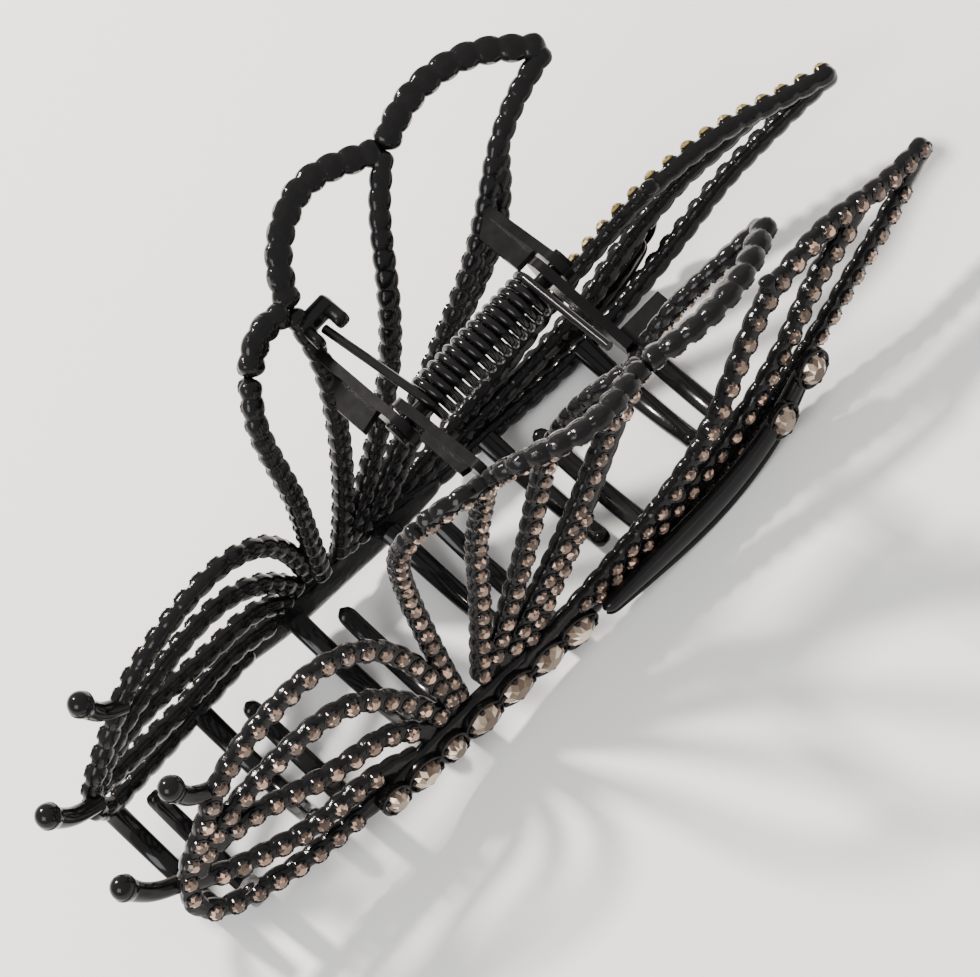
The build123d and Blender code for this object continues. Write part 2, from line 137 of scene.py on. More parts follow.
HANDLE_STATIONS = [
    (-23.5, 10.2, 6.9, 43.4, 24.0),
    (-9.2, 10.5, 9.9, 24.3, 49.0),
    (3.1, 10.6, 10.0, 17.7, 70.0),
    (25.4, 10.4, 9.1, 13.8, 63.0),
]
HANDLE_FOOT = -24.0
HANDLE_WAIST = -7.7
FOREWING_LEVELS = [
    (-27.7, [(-23.1, 10.7), (15.4, 8.6), (43.1, 5.9)]),
    (-19.0, [(-23.1, 10.6), (15.4, 10.4), (43.1, 5.6)]),
    (-9.2, [(-23.1, 10.4), (15.4, 7.4), (43.1, 5.0)]),
]
HINDWING_LEVELS = [
    (-24.6, [(-22.3, 10.8), (-36.9, 10.5), (-55.4, 7.7)]),
    (-3.1, [(-22.3, 7.2), (-36.9, 6.5), (-55.4, 4.0)]),
]
KEEPER_BLOCKS = [
    ((-10.1, 11.7, 2.2), (-6.1, 13.3, 4.2)),
    ((-10.1, 9.9, 2.2), (-9.0, 12.4, 3.8)),
    ((-7.5, 9.9, 2.2), (-6.1, 12.4, 3.8)),
]
TOOTH_PAIRS = {
    "hindwing": [(-48.8, -19.3, 8.2), (-37.2, -21.6, 9.8)],
    "body": [(-25.4, -22.7, 10.5), (-13.8, -23.8, 10.5)],
    "forewing": [(-1.9, -24.8, 9.9), (10.0, -25.0, 9.4)],
}
PRONG_PATHS = [
    [(-43.3, 6.4, -7.8), (-45.3, 6.4, -5.8), (-46.0, 6.4, -3.0)],
    [(-50.7, 6.1, -14.9), (-53.4, 5.7, -12.8), (-54.8, 5.4, -9.7)],
]
BODY_LINE = [(-33.2, -21.7, 0.9), (-28.5, -22.3, 1.9), (-21.5, -23.0, 2.1), (-14.0, -23.8, 2.0),
             (-9.0, -24.4, 1.0)]
BODY_FACE = 14.703
ANTENNA_FACE = 14.898
ANTENNA_LINE = [(-8.4, -24.1, 0.8), (-2.0, -24.9, 1.45), (4.6, -25.6, 1.7), (10.8, -25.3, 1.55),
                (16.0, -23.9, 1.2), (19.0, -22.4, 0.9)]
ANTENNA_ROWS = [(-12.0, 12.1), (5.0, 11.9), (24.0, 10.4)]


class Outline(Enum):
    """Outlines of the large stones."""

    ROUND = "round"
    OVAL = "oval"
    MARQUISE = "marquise"
    PEAR = "pear"


LARGE_STONES = [
    (-11.1, -24.1, Outline.PEAR, 4.39, 3.2, -8.0, BODY_FACE),
    (-14.8, -23.6, Outline.MARQUISE, 4.6, 3.0, -8.0, BODY_FACE),
    (-18.6, -23.2, Outline.MARQUISE, 4.8, 3.2, -8.0, BODY_FACE),
    (-22.5, -22.9, Outline.MARQUISE, 4.8, 3.3, -6.0, BODY_FACE),
    (-26.1, -22.6, Outline.ROUND, 3.09, 3.09, 0.0, BODY_FACE),
    (-29.5, -22.2, Outline.OVAL, 4.2, 3.0, -6.0, BODY_FACE),
    (-32.9, -21.7, Outline.ROUND, 3.09, 3.09, 0.0, BODY_FACE),
    (14.6, -24.3, Outline.OVAL, 4.2, 3.2, 60.0, ANTENNA_FACE),
    (19.4, -22.0, Outline.OVAL, 4.39, 3.41, 60.0, ANTENNA_FACE),
]


def unit(vectors: Array) -> Array:
    """Vectors made one long."""
    return vectors / np.linalg.norm(vectors, axis=-1, keepdims=True)


def natural_curve(points: Sequence[Sequence[float]], count: int = 400) -> Array:
    """Smooth curve through points.

    Each coordinate is a natural cubic spline of the chord length: a third-degree polynomial on each
    span, with slope and bend continuous at the points and no bend at the ends.

    Args:
        points: Points that the curve passes, each with any number of coordinates.
        count: Number of samples.

    Returns:
        Samples along the curve, one row each.
    """
    knots = np.asarray(points, dtype=float)
    chord = np.concatenate([[0.0], np.cumsum(np.linalg.norm(np.diff(knots[:, :2], axis=0), axis=1))])
    span = np.diff(chord)
    size = len(knots)
    system = np.eye(size)
    target = np.zeros_like(knots)
    inner = np.arange(1, size - 1)
    system[inner, inner - 1] = span[:-1]
    system[inner, inner] = 2.0 * (span[:-1] + span[1:])
    system[inner, inner + 1] = span[1:]
    slope = np.diff(knots, axis=0) / span[:, None]
    target[inner] = 6.0 * np.diff(slope, axis=0)
    bend = np.linalg.solve(system, target)
    place = np.linspace(0.0, chord[-1], count)
    index = np.clip(np.searchsorted(chord, place, side="right") - 1, 0, size - 2)
    width = span[index][:, None]
    ahead = (place - chord[index])[:, None] / width
    back = 1.0 - ahead
    return (
        back * knots[index]
        + ahead * knots[index + 1]
        + ((back ** 3 - back) * bend[index] + (ahead ** 3 - ahead) * bend[index + 1]) * width ** 2 / 6.0
    )


def circle_middle(points: Sequence[Point]) -> Array:
    """Middle of the circle through three points, where the middle lines of its two chords cross."""
    a, b, c = np.asarray(points, dtype=float)
    return np.linalg.solve(np.array([b - a, c - b]), 0.5 * np.array([b @ b - a @ a, c @ c - b @ b]))


def arc_through(rows: Sequence[Point]) -> Callable[[Array], Array]:
    """Circle arc through three plan-view points, as a half-width for each place along the pin.

    The half-width is that of the circle's middle plus or minus the root of radius squared less
    distance squared.

    Args:
        rows: Three (along, half-width) points, in percent.

    Returns:
        Function from places along the pin to half-widths, in millimetres.
    """
    points = np.array(rows) * PERCENT
    middle_x, middle_y = circle_middle(points)
    radius = np.hypot(points[0, 0] - middle_x, points[0, 1] - middle_y)
    bulge = 1.0 if points[1, 1] > middle_y else -1.0

    def half_width(along: Array) -> Array:
        """Half-width on the arc at each place."""
        return middle_y + bulge * np.sqrt(np.maximum(radius ** 2 - (along - middle_x) ** 2, 1.0))

    return half_width


@dataclass
class Sheet:
    """Curved middle surface of a wing, as a half-width over (along, above) points."""

    half_width: Callable[[Array, Array], Array]

    def lift(self, half: Half, along: Array, above: Array) -> Array:
        """Points of the surface.

        Args:
            half: Half that the points lie on.
            along: Places along the pin.
            above: Heights over the pin.

        Returns:
            Points in the pin's own frame, one row each.
        """
        return np.stack([along, half.value * self.half_width(along, above), above], axis=-1)

    def outward(self, half: Half, along: Array, above: Array) -> Array:
        """Unit normals of the surface, away from the hair.

        The half-width's slopes along and above are taken over a tenth of a millimetre.

        Args:
            half: Half that the points lie on.
            along: Places along the pin.
            above: Heights over the pin.

        Returns:
            One unit vector a point.
        """
        step = 0.05
        rise_along = self.half_width(along + step, above) - self.half_width(along - step, above)
        rise_above = self.half_width(along, above + step) - self.half_width(along, above - step)
        facing = np.full_like(rise_along, half.value)
        return unit(np.stack([-rise_along / (2 * step), facing, -rise_above / (2 * step)], axis=-1))


def wing_sheet(levels: Sequence[tuple[float, Sequence[Point]]]) -> Sheet:
    """Bowed sheet through plan-view arcs at several heights.

    Between two arcs the half-width goes evenly with height, and the ridge where two spans meet is
    rounded by taking the mean of the half-widths a little under and over each point and twice at it.

    Args:
        levels: Height of each arc and its three (along, half-width) rows, in percent.

    Returns:
        The sheet.
    """
    heights = np.array([level for level, _ in levels]) * PERCENT
    arcs = [arc_through(rows) for _, rows in levels]

    def even(along: Array, above: Array) -> Array:
        """Half-width before the ridge is rounded.

        Args:
            along: Places along the pin.
            above: Heights over the pin.

        Returns:
            One half-width a point.
        """
        widths = np.stack([arc(along) for arc in arcs])
        index = np.clip(np.searchsorted(heights, above) - 1, 0, len(arcs) - 2)
        share = (above - heights[index]) / (heights[index + 1] - heights[index])
        low = np.take_along_axis(widths, index[None], axis=0)[0]
        high = np.take_along_axis(widths, index[None] + 1, axis=0)[0]
        return low * (1.0 - share) + high * share

    def half_width(along: Array, above: Array) -> Array:
        """Half-width at each point."""
        under, over = even(along, above - RIDGE_ROUNDING), even(along, above + RIDGE_ROUNDING)
        return (under + 2.0 * even(along, above) + over) / 4.0

    return Sheet(half_width)


def handle_sheet() -> Sheet:
    """Flared sheet of the handle.

    At each station the sheet leans in from its foot to its waist, then a circle leans out: the
    half-width grows by the radius less the root of radius squared less height squared. Between
    stations it follows the cubic through all four.

    Returns:
        The sheet.
    """
    places, feet, waists, radii, angles = np.array(HANDLE_STATIONS).T
    places, feet, waists, radii = (column * PERCENT for column in (places, feet, waists, radii))
    limits = radii * np.sin(np.radians(angles))
    drop = (HANDLE_WAIST - HANDLE_FOOT) * PERCENT

    def half_width(along: Array, above: Array) -> Array:
        """Half-width at each point.

        Args:
            along: Places along the pin.
            above: Heights over the pin.

        Returns:
            One half-width a point.
        """
        level = (np.asarray(above) - HANDLE_WAIST * PERCENT)[..., None]
        height = np.maximum(level, 0.0)
        inside = np.minimum(height, limits)
        root = np.sqrt(radii ** 2 - inside ** 2)
        lean = np.maximum(-level, 0.0) / drop * (feet - waists)
        station = waists + lean + radii - root + (height - inside) * inside / root
        total = np.zeros(np.shape(along))
        for index, place in enumerate(places):
            others = np.delete(places, index)
            weight = np.prod((np.asarray(along)[..., None] - others) / (place - others), axis=-1)
            total = total + weight * station[..., index]
        return total

    return Sheet(half_width)


@dataclass
class Path:
    """Points along a line with the three unit vectors at each: ahead, aside and outward."""

    points: Array
    ahead: Array
    aside: Array
    outward: Array

    @property
    def run(self) -> Array:
        """Length from the start to each point."""
        steps = np.linalg.norm(np.diff(self.points, axis=0), axis=1)
        return np.concatenate([[0.0], np.cumsum(steps)])

    @classmethod
    def squared(cls, points: Array, ahead: Array, outward: Array) -> "Path":
        """Path with unit vectors that are square to each other: outward loses its share along ahead.

        Args:
            points: Points, one row each.
            ahead: Vectors along the path.
            outward: Rough outward vectors, or one for all.

        Returns:
            The path.
        """
        ahead = unit(ahead)
        outward = unit(outward - np.sum(outward * ahead, axis=1, keepdims=True) * ahead)
        return cls(points, ahead, np.cross(outward, ahead), outward)

    @classmethod
    def along(cls, points: Array, outward: Array) -> "Path":
        """Path through points, with rough outward vectors, or one for all."""
        return cls.squared(points, np.gradient(points, axis=0), outward)

    def picked(self, rows: slice | list[int]) -> "Path":
        """Some of the path's points, with their vectors."""
        return Path(self.points[rows], self.ahead[rows], self.aside[rows], self.outward[rows])

    def resampled(self, places: Array) -> "Path":
        """The path's points at given lengths from its start.

        Args:
            places: Lengths from the start.

        Returns:
            A new path.
        """
        run = self.run
        pick = lambda values: np.stack([np.interp(places, run, column) for column in values.T], axis=1)
        return Path.squared(pick(self.points), pick(self.ahead), pick(self.outward))

    def around(self, ahead: Array | float, aside: Array, outward: Array | float) -> Array:
        """Points round each of the path's: it plus a length along each of its three vectors.

        Args:
            ahead: Lengths ahead, for all of the path's points or one row for each.
            aside: Lengths aside, in the same layout.
            outward: Lengths outwards, in the same layout.

        Returns:
            One row of points a path point.
        """
        moves = ((ahead, self.ahead), (aside, self.aside), (outward, self.outward))
        return self.points[:, None] + sum(np.asarray(by)[..., None] * way[:, None] for by, way in moves)


def tube_faces(rings: int, sides: int, closed: bool = False) -> list[list[int]]:
    """Faces between each ring of points and the next.

    Args:
        rings: Number of rings.
        sides: Points in a ring.
        closed: Whether the last ring joins the first.

    Returns:
        Four point numbers a face.
    """
    first = np.arange(rings if closed else rings - 1)[:, None]
    here = np.arange(sides)[None, :]
    after, low, high = (here + 1) % sides, first * sides, (first + 1) % rings * sides
    return np.stack([low + here, low + after, high + after, high + here], axis=-1).reshape(-1, 4).tolist()


@dataclass
class MeshBin:
    """Collects vertices and faces of many shapes, to make one mesh."""

    vertices: list[Array] = field(default_factory=list)
    faces: list[list[int]] = field(default_factory=list)
    marks: list[float] = field(default_factory=list)
    total: int = 0

    def add(self, vertices: Array, faces: list[list[int]], marks: Sequence[float] | None = None) -> None:
        """Adds one shape.

        Args:
            vertices: Its points, one row each, in the pin's own frame.
            faces: Its faces, as lists of its own vertex numbers.
            marks: One value a face: a stone's painted glint, or how rough the cast metal is.
        """
        self.vertices.append(vertices.reshape(-1, 3))
        self.faces.extend([[corner + self.total for corner in face] for face in faces])
        self.marks.extend(marks if marks is not None else [0.0] * len(faces))
        self.total += self.vertices[-1].shape[0]

    def sweep(self, path: Path, across: Array, over: Array, rough: float = 0.0) -> None:
        """Adds a closed tube: each ring is across along aside plus over along outward, with flat ends.

        Args:
            path: Path that the rings follow.
            across: Offsets to the side, one row of ring points a path point.
            over: Offsets outwards, in the same layout.
            rough: How rough the metal is, from 0 to 1.
        """
        count, sides = across.shape
        last = (count - 1) * sides
        caps = [list(range(sides))[::-1], list(range(last, last + sides))]
        faces = tube_faces(count, sides) + caps
        self.add(path.around(0.0, across, over), faces, [rough] * len(faces))

    def stamp(self, template: Array, faces: list[list[int]], path: Path, painted_glints: Array | None = None) -> None:
        """Adds one copy of a small shape at each point of a path.

        Args:
            template: The shape's points as (ahead, aside, outward) offsets.
            faces: Its faces.
            path: Where the copies stand.
            painted_glints: Painted highlight of each face of each copy, below zero on foiled faces.
        """
        starts = range(0, len(path.points) * len(template), len(template))
        many = [[corner + start for corner in face] for start in starts for face in faces]
        self.add(path.around(*template.T), many, None if painted_glints is None else painted_glints.ravel().tolist())

    def build(self, name: str, half: Half, smooth: bool) -> bpy.types.Object:
        """Makes the object.

        Args:
            name: Object's name.
            half: Half whose body it rides on.
            smooth: Whether blunt edges are smooth, or all facets flat.

        Returns:
            The object, riding on its body.
        """
        mesh = bpy.data.meshes.new(name)
        points = (np.concatenate(self.vertices) + PIN_PLACE) / MILLIMETRES
        mesh.from_pydata(points.tolist(), [], self.faces)
        if any(self.marks):
            attribute = mesh.attributes.new("mark", "FLOAT", "FACE")
            attribute.data.foreach_set("value", np.asarray(self.marks, dtype=np.float32))
        mesh.polygons.foreach_set("use_smooth", np.full(len(self.faces), smooth))
        mesh.update()
        if smooth:
            mesh.set_sharp_from_angle(angle=radians(SMOOTH_ANGLE))
        piece = bpy.data.objects.new(name, mesh)
        bpy.context.scene.collection.objects.link(piece)
        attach(piece, half.body)
        LOG.info("%s: %d faces", name, len(self.faces))
        return piece


def ring_angles(sides: int) -> Array:
    """Even angles round a ring."""
    return np.arange(sides) * 2.0 * pi / sides


def power(value: Array, exponent: float) -> Array:
    """Signed power, which squares up an ellipse's corners below one."""
    return np.sign(value) * np.abs(value) ** exponent


def squared_ring(sides: int, aside: float, outward: float) -> tuple[Array, Array]:
    """Ring of a squared ellipse: powers of the cosine aside and of the sine outwards.

    Args:
        sides: Points in the ring.
        aside: Power of the cosine.
        outward: Power of the sine.

    Returns:
        Shares of the half-width and of the half-height, one row each.
    """
    turn = ring_angles(sides)
    return power(np.cos(turn), aside)[None], power(np.sin(turn), outward)[None]


def round_ends(run: Array, reach: float, least: float = 0.12) -> Array:
    """Share of full width near the two ends of a run.

    A quarter circle: the root of one less the square of the missing share of the reach.

    Args:
        run: Length from the start to each point.
        reach: Length over which an end is rounded.
        least: Smallest share, at the very end.

    Returns:
        One share a point.
    """
    missing = 1.0 - np.clip(np.minimum(run, run[-1] - run) / reach, 0.0, 1.0)
    return np.maximum(np.sqrt(1.0 - missing ** 2), least)


@dataclass(frozen=True)
class Gem:
    """Cut stone template: girdle, kites, stars and a table, over a flat back.

    The rings lie at full size at the girdle, at about five sixths half-way up and turned by half a
    facet, and at the table's share on top.
    """

    points: Array
    faces: list[list[int]]
    glow: Array

    @classmethod
    def cut(cls, outline: Array, height: float, table: float = 0.5, girdle: float = 0.16) -> "Gem":
        """Works out a gem over an outline.

        Args:
            outline: Corner points round the middle, counter-clockwise.
            height: Height of the table over the back.
            table: Table's share of the outline.
            girdle: Height of the girdle over the back.

        Returns:
            The template.
        """
        sides = len(outline)
        between = 0.5 * (outline + np.roll(outline, -1, axis=0))
        layers = [
            (outline * GEM_BACK, 0.0),
            (outline, girdle),
            (between * GEM_CROWN, girdle + (height - girdle) * GEM_CROWN_LEVEL),
            (outline * table, height),
        ]
        points = np.concatenate([np.column_stack([ring, np.full(sides, level)]) for ring, level in layers])
        low, belt, middle, top = np.arange(4 * sides).reshape(4, sides).tolist()
        faces: list[list[int]] = []
        for corner in range(sides):
            after = (corner + 1) % sides
            faces += [
                [low[corner], low[after], belt[after], belt[corner]],
                [belt[corner], belt[after], middle[corner]],
                [middle[corner - 1], belt[corner], middle[corner], top[corner]],
                [top[corner], middle[corner], top[after]],
            ]
        # Painted highlight of each facet kind, brightest near the table and a little less on the table
        # itself; the back and lower sides are foiled and marked below zero.
        glow = [FOILED, 0.5, 0.9, 1.0] * sides + [0.6, FOILED]
        return cls(points, [*faces, top, low[::-1]], np.array(glow))

    def painted_glints(self, copies: int, seed: int, rarity: float = 4.0) -> Array:
        """Painted highlight of each facet of each copy: its place in the cut, times a random share.

        Few shares are high, since an even share is raised to a power. Foiled faces keep their mark
        below zero.

        Args:
            copies: Number of stones.
            seed: Seed of the shares.
            rarity: That power.

        Returns:
            One row a stone.
        """
        random = np.random.default_rng(seed)
        shares = random.uniform(0.0, 1.0, (copies, len(self.glow))) ** rarity
        shares *= random.uniform(0.6, 1.7, (copies, 1))
        return np.where(self.glow < 0, self.glow, np.clip((0.05 + shares) * self.glow, 0.01, 1.0))


def stone_outline(outline: Outline, length: float, width: float, corners: int, grow: float = 0.0) -> Array:
    """Corner points of a stone's outline.

    An ellipse, whose sides are drawn in by a power of the sine for a marquise, and narrowed along
    the length for a pear.

    Args:
        outline: Kind of outline.
        length: Length along the stone.
        width: Width across it.
        corners: Number of corners.
        grow: Extra width all round.

    Returns:
        One (along, across) row a corner.
    """
    turn = (np.arange(corners) + 0.5) * 2.0 * pi / corners
    along = (length / 2 + grow) * np.cos(turn)
    across = (width / 2 + grow) * np.sin(turn)
    if outline is Outline.MARQUISE:
        across = across * np.abs(np.sin(turn)) ** 0.35
    if outline is Outline.PEAR:
        across = across * (1.0 - 0.25 * np.cos(turn))
    return np.column_stack([along, across])


def bead_template(radius: float) -> tuple[Array, list[list[int]]]:
    """Small round bead of 24 faces: two rings of six points and two poles on a sphere.

    Args:
        radius: Bead's radius.

    Returns:
        Its points and faces.
    """
    sides, level = 6, 0.5
    lower, upper = (
        np.column_stack([np.cos(turn) * cos(rise), np.sin(turn) * cos(rise), np.full(sides, sin(rise))])
        for rise, turn in ((-level, ring_angles(sides)), (level, ring_angles(sides) + pi / sides))
    )
    points = np.concatenate([lower, upper, [[0.0, 0.0, -1.0], [0.0, 0.0, 1.0]]]) * radius
    bottom, top = 2 * sides, 2 * sides + 1
    faces: list[list[int]] = []
    for corner in range(sides):
        after = (corner + 1) % sides
        faces += [[corner, after, sides + corner], [after, sides + after, sides + corner]]
        faces += [[bottom, after, corner], [top, sides + corner, sides + after]]
    return points, faces


def cup_template(
    inner: float, outer: float, low: float, high: float, claw: float = 0.2
) -> tuple[Array, list[list[int]]]:
    """Short tube that holds a small stone, with four round claws on its rim.

    The tube has a ring of ten points at each corner of its section. The claws stand at an eighth of
    a turn from the strand's line.

    Args:
        inner: Inside radius.
        outer: Outside radius.
        low: Height of its foot.
        high: Height of its rim.
        claw: Radius of a claw.

    Returns:
        Its points and faces.
    """
    sides, rim_share, claw_lift = 10, 0.94, 0.06
    turn = ring_angles(sides)
    circle = np.column_stack([np.cos(turn), np.sin(turn), np.ones(sides)])
    layers = ((outer, low), (outer * rim_share, high), (inner, high), (inner, low))
    shapes = [np.concatenate([circle * [size, size, rise] for size, rise in layers])]
    faces = tube_faces(len(layers), sides, closed=True)
    bead, bead_faces = bead_template(claw)
    for quarter in range(4):
        start = sum(len(shape) for shape in shapes)
        angle = (quarter + 0.5) * pi / 2
        shapes.append(bead + [inner * cos(angle), inner * sin(angle), high + claw_lift])
        faces += [[corner + start for corner in face] for face in bead_faces]
    return np.concatenate(shapes), faces


@dataclass
class Strand:
    """One beaded strand: a lobed bar with a stone in the cup of each lobe."""

    kind: StrandKind
    points: list[Point]
    sheet: Sheet
    half: Half
    steps: int = 8
    swell: float = 0.8
    valley_depth: float = 0.82

    def path(self) -> Path:
        """Middle line of the strand on its sheet."""
        along, above = (natural_curve(self.points) * PERCENT).T
        place = (self.half, along, above)
        return Path.along(self.sheet.lift(*place), self.sheet.outward(*place))

    def lobe_count(self, path: Path) -> int:
        """Whole number of lobes that fills the strand."""
        return max(2, round((path.run[-1] + self.kind.valley) / self.kind.pitch))

    def cast(self, metal: MeshBin) -> None:
        """Adds the lobed bar.

        Along each lobe the half-width swells from the valley's with a power of half a sine wave, and
        the inner face bulges with it.

        Args:
            metal: Bin for the metal.
        """
        path = self.path()
        lobes = self.lobe_count(path)
        places = np.linspace(0.0, path.run[-1], lobes * self.steps + 1)
        swell = np.abs(np.sin(pi * places / places[-1] * lobes)) ** self.swell
        ends = round_ends(places, self.kind.valley)
        half_width = (self.kind.valley + (self.kind.lobe - self.kind.valley) * swell) * ends
        under = self.kind.under * (self.valley_depth + (1.0 - self.valley_depth) * swell) * ends
        over = self.kind.over * ends
        aside, rise = squared_ring(12, aside=0.8, outward=0.75)
        heights = np.where(rise > 0, over[:, None], under[:, None])
        metal.sweep(path.resampled(places), half_width[:, None] * aside, rise * heights, rough=1.0)

    def seats(self) -> Path:
        """Seats of the stones: a path with one point in the middle of each lobe."""
        path = self.path()
        lobes = self.lobe_count(path)
        return path.resampled((np.arange(lobes) + 0.5) / lobes * path.run[-1])


@dataclass
class StoneField:
    """All small stones of one half, kept clear of each other and of the body."""

    half: Half
    clear: float = 1.75
    margin: float = 0.75
    taken: list[Array] = field(default_factory=list)

    def free(self, path: Path) -> Path:
        """The seats that no earlier stone and no body plate covers.

        Args:
            path: Wanted seats.

        Returns:
            The free ones.
        """
        line = natural_curve(BODY_LINE) * PERCENT
        kept: list[int] = []
        for index, place in enumerate(path.points):
            near = np.hypot(line[:, 0] - place[0], line[:, 1] - place[2])
            closest = int(np.argmin(near))
            on_body = near[closest] < line[closest, 2] + self.margin
            crowded = any(np.linalg.norm(place - other) < self.clear for other in self.taken)
            if not on_body and not crowded:
                kept.append(index)
                self.taken.append(place)
        return path.picked(kept)


@dataclass
class Wing:
    """One wing or handle of one half: its metal and its small stones."""

    half: Half
    node: str
    strands: list[tuple[StrandKind, list[Point]]]
    sheet: Sheet
    proud: float = 0.4
    fit: float = 0.02
    cup_wall: float = 0.32
    cup_foot: float = -0.8
    cup_rim: float = 0.08
    girdle: float = 0.2
    sunk: float = 0.12

    def metal(self) -> MeshBin:
        """The wing's lobed strands and claw teeth."""
        metal = MeshBin()
        for kind, points in self.strands:
            Strand(kind, points, self.sheet, self.half).cast(metal)
        for row in TOOTH_PAIRS.get(self.node, []):
            Tooth(self.half, *row).cast(metal)
        return metal

    def stones(self, field_of_stones: StoneField, metal: MeshBin, stones: MeshBin) -> None:
        """Sets a stone in a clawed cup on each lobe.

        On the back half the stones of the forewing's top edge stand a little prouder.

        Args:
            field_of_stones: Stones already set on this half.
            metal: Bin for the cups.
            stones: Bin for the stones.
        """
        for number, (kind, points) in enumerate(self.strands):
            seats = field_of_stones.free(Strand(kind, points, self.sheet, self.half).seats())
            if not len(seats.points):
                continue
            top_edge = (self.half, self.node, number) == (Half.BACK, "forewing", 0)
            proud = self.proud if top_edge else 0.0
            circle = stone_outline(Outline.ROUND, 2 * kind.stone_radius, 2 * kind.stone_radius, 8)
            gem = Gem.cut(circle, kind.stone_height + proud, girdle=self.girdle + proud)
            inner = kind.stone_radius + self.fit
            cup, cup_faces = cup_template(inner, inner + self.cup_wall, self.cup_foot, self.cup_rim)
            seats.points = seats.points + seats.outward * kind.over
            metal.stamp(cup, cup_faces, seats)
            seats.points = seats.points - seats.outward * self.sunk
            # Painted glints of each stone's facets.
            painted_glints = gem.painted_glints(len(seats.points), 100 * number + len(self.node) + self.half.value)
            stones.stamp(gem.points, gem.faces, seats, painted_glints)


@dataclass
class Tooth:
    """Claw tooth: a bar on a circle arc across the clip, with a ridge on its inner face."""

    half: Half
    along: float
    root: float
    width: float
    half_width: float = 1.38
    half_thickness: float = 0.8
    reach: float = 0.68
    offset: float = 2.2
    lowest: float = 1.6
    narrowing: float = 0.18
    ridge: float = 0.22
    ridge_width: float = 0.45
    tip_width: float = 0.12
    tip_depth: float = 0.35

    def cast(self, metal: MeshBin) -> None:
        """Adds the tooth.

        The arc passes its root, a point near the floor and its tip. The bar is a squared ellipse
        with a bell-shaped ridge, and its width ends in a half circle at the tip.

        Args:
            metal: Bin for the metal.
        """
        side = self.half.value
        wide, root = self.width * PERCENT, self.root * PERCENT
        floor = self.half_thickness - PIN_PLACE[2]
        corners = np.array([(wide, root), (self.lowest, floor), (-wide * self.reach, root)])
        arc = circle_arc(corners * [side, 1.0], 60)
        centre = self.along * PERCENT - side * self.offset
        points = np.column_stack([np.full(len(arc), centre), arc])
        path = Path.along(points, np.column_stack([np.zeros(len(arc)), arc_normals(arc)]))
        run = path.run
        taper = np.sqrt(1.0 - (1.0 - np.clip((run[-1] - run) / self.half_width, 0.0, 1.0)) ** 2)[:, None]
        narrowed = (1.0 - self.narrowing * run / run[-1])[:, None]
        widths = self.half_width * np.maximum(taper, self.tip_width) * narrowed
        aside, inward = squared_ring(20, aside=0.6, outward=0.6)
        across = widths * aside
        ridge = self.ridge * np.exp(-((across / self.ridge_width) ** 2)) * (inward > 0)
        depth = self.half_thickness * (self.tip_depth + (1.0 - self.tip_depth) * taper)
        metal.sweep(path, across, inward * depth + ridge * taper)


def circle_arc(corners: Array, count: int) -> Array:
    """Points on the circle through three points, from the first over the second to the third.

    Args:
        corners: The three points, one row each.
        count: Number of samples.

    Returns:
        One row a sample.
    """
    middle = circle_middle(corners)
    spokes = corners - middle
    angles = np.unwrap(np.arctan2(spokes[:, 1], spokes[:, 0]))
    turn = np.linspace(angles[0], angles[2], count)
    return middle + np.linalg.norm(spokes[0]) * np.column_stack([np.cos(turn), np.sin(turn)])


def arc_normals(arc: Array) -> Array:
    """Unit vectors from an arc's points to its middle, from the change of its direction.

    Args:
        arc: Points on the arc, one row each.

    Returns:
        One vector a point.
    """
    bend = np.gradient(unit(np.gradient(arc, axis=0)), axis=0)
    bend[0], bend[-1] = bend[1], bend[-2]
    return unit(bend)


@dataclass
class Prong:
    """Smooth prong of a short wing that curves up to a ball."""

    half: Half
    points: list[tuple[float, float, float]]
    radius: float = 1.23
    ball: float = 1.55
    slimmest: float = 0.86
    thickening: float = 0.30
    blend: float = 6.0
    steps: int = 60

    def cast(self, metal: MeshBin) -> None:
        """Adds the prong: a round bar that thickens with the square of its run up to the ball's circle.

        Bar and ball run into each other: a high power of each radius is added up, and the root taken.

        Args:
            metal: Bin for the metal.
        """
        bends = np.array([(x, self.half.value * y, z) for x, y, z in self.points]) * PERCENT
        line = natural_curve(bends[:, [0, 2, 1]], self.steps)[:, [0, 2, 1]]
        last = line[-1] - line[-2]
        last /= np.linalg.norm(last)
        line = np.concatenate([line, line[-1] + last * np.linspace(0.05, self.ball * 0.995, 16)[:, None]])
        path = Path.along(line, self.half.outward)
        run, centre = path.run, path.run[self.steps - 1]
        ball = np.sqrt(np.maximum(self.ball ** 2 - (run - centre) ** 2, 0.0))
        share = self.slimmest + self.thickening * (run / centre) ** 2
        neck = self.radius * np.where(run < centre, share, 0.0)
        blended = (ball ** self.blend + neck ** self.blend) ** (1.0 / self.blend)
        radii = np.maximum(blended, 0.06)[:, None]
        aside, outward = squared_ring(20, aside=1.0, outward=1.0)
        metal.sweep(path, radii * aside, radii * outward)


@dataclass
class BodyPlate:
    """Body of one half: a domed plate, its claw teeth, and the cups of the large stones."""

    half: Half
    thickness: float = 2.0
    end_depth: float = 0.4

    def cast(self, metal: MeshBin) -> None:
        """Adds the plate and its teeth.

        The plate follows the body's line with its own half-height, as a squared ellipse, and its
        ends close in quarter circles.

        Args:
            metal: Bin for the metal.
        """
        line = natural_curve(BODY_LINE, 90) * PERCENT
        depth = self.half.value * (BODY_FACE - self.thickness / 2)
        points = np.column_stack([line[:, 0], np.full(len(line), depth), line[:, 1]])
        path = Path.along(points, self.half.outward)
        ends = round_ends(path.run, reach=1.5, least=0.15)[:, None]
        aside, outward = squared_ring(24, aside=0.85, outward=0.55)
        over = self.thickness / 2 * outward * (self.end_depth + (1.0 - self.end_depth) * ends)
        metal.sweep(path, line[:, 2:3] * ends * aside, over, rough=0.8)
        for row in TOOTH_PAIRS["body"]:
            Tooth(self.half, *row).cast(metal)


